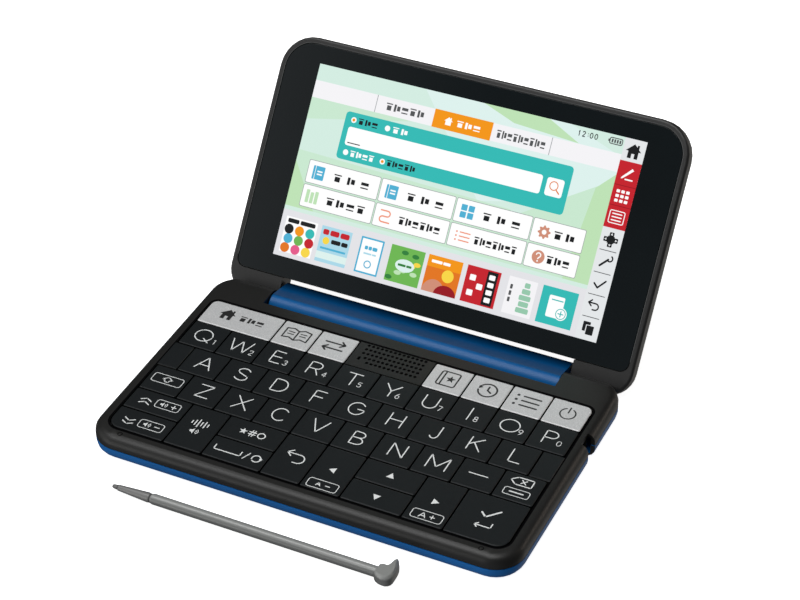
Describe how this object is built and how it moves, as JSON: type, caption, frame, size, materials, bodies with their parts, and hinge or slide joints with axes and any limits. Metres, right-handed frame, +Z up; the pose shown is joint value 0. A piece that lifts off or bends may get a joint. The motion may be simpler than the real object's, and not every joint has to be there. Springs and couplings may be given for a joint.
{
  "type": "folding electronic dictionary",
  "caption": "Pocket electronic dictionary with a letter keyboard, a wide touch screen in a lid on a double-jointed link that folds right round, and a loose stylus.",
  "frame": {"origin": "middle of the flat underside of the keyboard base, between its four feet", "axes": "+X to the right along the rows of keys, +Y from the front edge to the hinge, +Z up through the keys"},
  "size_m": [0.152, 0.1692, 0.0768],
  "materials": {
    "cover_blue": "satin blue moulded plastic",
    "frame_black": "satin black moulded plastic",
    "silicone": "matt silicone",
    "circuit_board": "solder resist on glass fibre",
    "speaker_black": "matt black",
    "inner_black": "matt black plastic",
    "link_blue": "gloss blue lacquer",
    "lid_grey": "satin dark grey plastic",
    "screen_glass": "polished glass with a black printed border",
    "display": "lit display",
    "stylus_grey": "satin grey plastic",
    "stylus_nib": "satin grey plastic",
    "key_silver": "fine metallic silver paint",
    "key_black": "satin black plastic"
  },
  "bodies": {
    "base": {"bottom_cover": "cover_blue", "key_frame": "frame_black", "speaker_grille": "frame_black", "keypad_sheet": "silicone", "main_board": "circuit_board", "speaker": "speaker_black", "stylus_holder": "inner_black"},
    "link": {"hinge_bar": "link_blue"},
    "lid": {"lid_housing": "lid_grey", "lid_glass": "screen_glass", "display_panel": "display"},
    "stylus": {"stylus_barrel": "stylus_grey", "stylus_tip": "stylus_nib"},
    "key_home": {"key_home": "key_silver"},
    "key_menu_1": {"key_menu_1": "key_silver"},
    "key_menu_2": {"key_menu_2": "key_silver"},
    "key_menu_3": {"key_menu_3": "key_silver"},
    "key_menu_4": {"key_menu_4": "key_silver"},
    "key_menu_5": {"key_menu_5": "key_silver"},
    "key_power": {"key_power": "key_silver"},
    "key_q": {"key_q": "key_black"},
    "key_w": {"key_w": "key_black"},
    "key_e": {"key_e": "key_black"},
    "key_r": {"key_r": "key_black"},
    "key_t": {"key_t": "key_black"},
    "key_y": {"key_y": "key_black"},
    "key_u": {"key_u": "key_black"},
    "key_i": {"key_i": "key_black"},
    "key_o": {"key_o": "key_black"},
    "key_p": {"key_p": "key_black"},
    "key_a": {"key_a": "key_black"},
    "key_s": {"key_s": "key_black"},
    "key_d": {"key_d": "key_black"},
    "key_f": {"key_f": "key_black"},
    "key_g": {"key_g": "key_black"},
    "key_h": {"key_h": "key_black"},
    "key_j": {"key_j": "key_black"},
    "key_k": {"key_k": "key_black"},
    "key_l": {"key_l": "key_black"},
    "key_shift": {"key_shift": "key_black"},
    "key_z": {"key_z": "key_black"},
    "key_x": {"key_x": "key_black"},
    "key_c": {"key_c": "key_black"},
    "key_v": {"key_v": "key_black"},
    "key_b": {"key_b": "key_black"},
    "key_n": {"key_n": "key_black"},
    "key_m": {"key_m": "key_black"},
    "key_dash": {"key_dash": "key_black"},
    "key_delete": {"key_delete": "key_black"},
    "key_page_up": {"key_page_up": "key_black"},
    "key_page_down": {"key_page_down": "key_black"},
    "key_voice": {"key_voice": "key_black"},
    "key_symbol": {"key_symbol": "key_black"},
    "key_space": {"key_space": "key_black"},
    "key_back": {"key_back": "key_black"},
    "key_left": {"key_left": "key_black"},
    "key_up": {"key_up": "key_black"},
    "key_down": {"key_down": "key_black"},
    "key_right": {"key_right": "key_black"},
    "key_enter": {"key_enter": "key_black"}
  },
  "joints": [
    {"name": "base_hinge", "type": "hinge", "parent": "base", "child": "link", "pos_m": [0, 0.0424, 0.0048], "axis": [-1, 0, 0], "range_deg": [-98, 82]},
    {"name": "lid_hinge", "type": "hinge", "parent": "link", "child": "lid", "pos_m": [0, 0.05131, 0.00355], "axis": [-1, 0, 0], "range_deg": [-29.33, 150.67]},
    {"name": "stylus_lift", "type": "slide", "parent": "base", "child": "stylus", "axis": [0, 0, 1], "range_m": [0, 0.05]},
    {"name": "press_home", "type": "slide", "parent": "base", "child": "key_home", "axis": [0, 0, -1], "range_m": [0, 0.0005], "stiffness_N_per_m": 1200},
    {"name": "press_menu_1", "type": "slide", "parent": "base", "child": "key_menu_1", "axis": [0, 0, -1], "range_m": [0, 0.0005], "stiffness_N_per_m": 1200},
    {"name": "press_menu_2", "type": "slide", "parent": "base", "child": "key_menu_2", "axis": [0, 0, -1], "range_m": [0, 0.0005], "stiffness_N_per_m": 1200},
    {"name": "press_menu_3", "type": "slide", "parent": "base", "child": "key_menu_3", "axis": [0, 0, -1], "range_m": [0, 0.0005], "stiffness_N_per_m": 1200},
    {"name": "press_menu_4", "type": "slide", "parent": "base", "child": "key_menu_4", "axis": [0, 0, -1], "range_m": [0, 0.0005], "stiffness_N_per_m": 1200},
    {"name": "press_menu_5", "type": "slide", "parent": "base", "child": "key_menu_5", "axis": [0, 0, -1], "range_m": [0, 0.0005], "stiffness_N_per_m": 1200},
    {"name": "press_power", "type": "slide", "parent": "base", "child": "key_power", "axis": [0, 0, -1], "range_m": [0, 0.0005], "stiffness_N_per_m": 1200},
    {"name": "press_q", "type": "slide", "parent": "base", "child": "key_q", "axis": [0, 0, -1], "range_m": [0, 0.0005], "stiffness_N_per_m": 1200},
    {"name": "press_w", "type": "slide", "parent": "base", "child": "key_w", "axis": [0, 0, -1], "range_m": [0, 0.0005], "stiffness_N_per_m": 1200},
    {"name": "press_e", "type": "slide", "parent": "base", "child": "key_e", "axis": [0, 0, -1], "range_m": [0, 0.0005], "stiffness_N_per_m": 1200},
    {"name": "press_r", "type": "slide", "parent": "base", "child": "key_r", "axis": [0, 0, -1], "range_m": [0, 0.0005], "stiffness_N_per_m": 1200},
    {"name": "press_t", "type": "slide", "parent": "base", "child": "key_t", "axis": [0, 0, -1], "range_m": [0, 0.0005], "stiffness_N_per_m": 1200},
    {"name": "press_y", "type": "slide", "parent": "base", "child": "key_y", "axis": [0, 0, -1], "range_m": [0, 0.0005], "stiffness_N_per_m": 1200},
    {"name": "press_u", "type": "slide", "parent": "base", "child": "key_u", "axis": [0, 0, -1], "range_m": [0, 0.0005], "stiffness_N_per_m": 1200},
    {"name": "press_i", "type": "slide", "parent": "base", "child": "key_i", "axis": [0, 0, -1], "range_m": [0, 0.0005], "stiffness_N_per_m": 1200},
    {"name": "press_o", "type": "slide", "parent": "base", "child": "key_o", "axis": [0, 0, -1], "range_m": [0, 0.0005], "stiffness_N_per_m": 1200},
    {"name": "press_p", "type": "slide", "parent": "base", "child": "key_p", "axis": [0, 0, -1], "range_m": [0, 0.0005], "stiffness_N_per_m": 1200},
    {"name": "press_a", "type": "slide", "parent": "base", "child": "key_a", "axis": [0, 0, -1], "range_m": [0, 0.0005], "stiffness_N_per_m": 1200},
    {"name": "press_s", "type": "slide", "parent": "base", "child": "key_s", "axis": [0, 0, -1], "range_m": [0, 0.0005], "stiffness_N_per_m": 1200},
    {"name": "press_d", "type": "slide", "parent": "base", "child": "key_d", "axis": [0, 0, -1], "range_m": [0, 0.0005], "stiffness_N_per_m": 1200},
    {"name": "press_f", "type": "slide", "parent": "base", "child": "key_f", "axis": [0, 0, -1], "range_m": [0, 0.0005], "stiffness_N_per_m": 1200},
    {"name": "press_g", "type": "slide", "parent": "base", "child": "key_g", "axis": [0, 0, -1], "range_m": [0, 0.0005], "stiffness_N_per_m": 1200},
    {"name": "press_h", "type": "slide", "parent": "base", "child": "key_h", "axis": [0, 0, -1], "range_m": [0, 0.0005], "stiffness_N_per_m": 1200},
    {"name": "press_j", "type": "slide", "parent": "base", "child": "key_j", "axis": [0, 0, -1], "range_m": [0, 0.0005], "stiffness_N_per_m": 1200},
    {"name": "press_k", "type": "slide", "parent": "base", "child": "key_k", "axis": [0, 0, -1], "range_m": [0, 0.0005], "stiffness_N_per_m": 1200},
    {"name": "press_l", "type": "slide", "parent": "base", "child": "key_l", "axis": [0, 0, -1], "range_m": [0, 0.0005], "stiffness_N_per_m": 1200},
    {"name": "press_shift", "type": "slide", "parent": "base", "child": "key_shift", "axis": [0, 0, -1], "range_m": [0, 0.0005], "stiffness_N_per_m": 1200},
    {"name": "press_z", "type": "slide", "parent": "base", "child": "key_z", "axis": [0, 0, -1], "range_m": [0, 0.0005], "stiffness_N_per_m": 1200},
    {"name": "press_x", "type": "slide", "parent": "base", "child": "key_x", "axis": [0, 0, -1], "range_m": [0, 0.0005], "stiffness_N_per_m": 1200},
    {"name": "press_c", "type": "slide", "parent": "base", "child": "key_c", "axis": [0, 0, -1], "range_m": [0, 0.0005], "stiffness_N_per_m": 1200},
    {"name": "press_v", "type": "slide", "parent": "base", "child": "key_v", "axis": [0, 0, -1], "range_m": [0, 0.0005], "stiffness_N_per_m": 1200},
    {"name": "press_b", "type": "slide", "parent": "base", "child": "key_b", "axis": [0, 0, -1], "range_m": [0, 0.0005], "stiffness_N_per_m": 1200},
    {"name": "press_n", "type": "slide", "parent": "base", "child": "key_n", "axis": [0, 0, -1], "range_m": [0, 0.0005], "stiffness_N_per_m": 1200},
    {"name": "press_m", "type": "slide", "parent": "base", "child": "key_m", "axis": [0, 0, -1], "range_m": [0, 0.0005], "stiffness_N_per_m": 1200},
    {"name": "press_dash", "type": "slide", "parent": "base", "child": "key_dash", "axis": [0, 0, -1], "range_m": [0, 0.0005], "stiffness_N_per_m": 1200},
    {"name": "press_delete", "type": "slide", "parent": "base", "child": "key_delete", "axis": [0, 0, -1], "range_m": [0, 0.0005], "stiffness_N_per_m": 1200},
    {"name": "press_page_up", "type": "slide", "parent": "base", "child": "key_page_up", "axis": [0, 0, -1], "range_m": [0, 0.0005], "stiffness_N_per_m": 1200},
    {"name": "press_page_down", "type": "slide", "parent": "base", "child": "key_page_down", "axis": [0, 0, -1], "range_m": [0, 0.0005], "stiffness_N_per_m": 1200},
    {"name": "press_voice", "type": "slide", "parent": "base", "child": "key_voice", "axis": [0, 0, -1], "range_m": [0, 0.0005], "stiffness_N_per_m": 1200},
    {"name": "press_symbol", "type": "slide", "parent": "base", "child": "key_symbol", "axis": [0, 0, -1], "range_m": [0, 0.0005], "stiffness_N_per_m": 1200},
    {"name": "press_space", "type": "slide", "parent": "base", "child": "key_space", "axis": [0, 0, -1], "range_m": [0, 0.0005], "stiffness_N_per_m": 1200},
    {"name": "press_back", "type": "slide", "parent": "base", "child": "key_back", "axis": [0, 0, -1], "range_m": [0, 0.0005], "stiffness_N_per_m": 1200},
    {"name": "press_left", "type": "slide", "parent": "base", "child": "key_left", "axis": [0, 0, -1], "range_m": [0, 0.0005], "stiffness_N_per_m": 1200},
    {"name": "press_up", "type": "slide", "parent": "base", "child": "key_up", "axis": [0, 0, -1], "range_m": [0, 0.0005], "stiffness_N_per_m": 1200},
    {"name": "press_down", "type": "slide", "parent": "base", "child": "key_down", "axis": [0, 0, -1], "range_m": [0, 0.0005], "stiffness_N_per_m": 1200},
    {"name": "press_right", "type": "slide", "parent": "base", "child": "key_right", "axis": [0, 0, -1], "range_m": [0, 0.0005], "stiffness_N_per_m": 1200},
    {"name": "press_enter", "type": "slide", "parent": "base", "child": "key_enter", "axis": [0, 0, -1], "range_m": [0, 0.0005], "stiffness_N_per_m": 1200}
  ]
}
